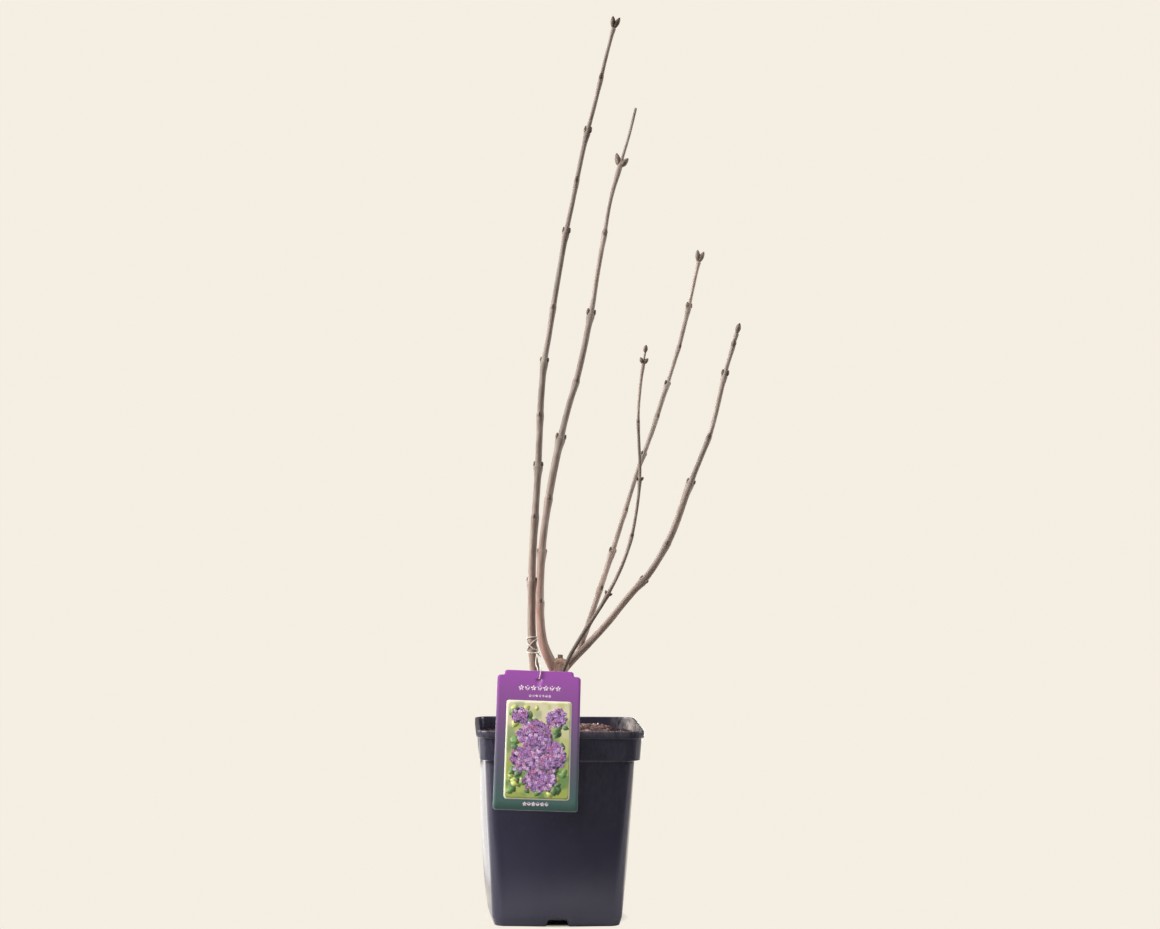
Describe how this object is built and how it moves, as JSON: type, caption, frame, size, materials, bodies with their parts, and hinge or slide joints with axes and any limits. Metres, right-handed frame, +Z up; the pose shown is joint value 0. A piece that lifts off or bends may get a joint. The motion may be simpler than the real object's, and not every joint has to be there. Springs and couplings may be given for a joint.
{
  "type": "potted lilac shrub",
  "caption": "Young bare winter lilac with upright, paired-budded shoots on a short trunk, in a square tapered nursery pot of soil, with a hanging plant label.",
  "frame": {"origin": "centre of the pot's standing face, on the surface it stands on", "axes": "+Z up, -Y the front that the label faces, +X to the right seen from the front"},
  "size_m": [0.238, 0.1933, 0.8223],
  "materials": {
    "black_plastic": "satin",
    "potting_soil": "matte",
    "bark": "matte",
    "label_card": "gloss",
    "label_string": "matte"
  },
  "bodies": {
    "root": {"pot": "black_plastic", "soil": "potting_soil", "trunk": "bark", "shoot_tall": "bark", "shoot_inner": "bark", "shoot_low_right": "bark", "shoot_middle_right": "bark", "shoot_thin": "bark", "label_card": "label_card", "label_string": "label_string"}
  },
  "joints": []
}
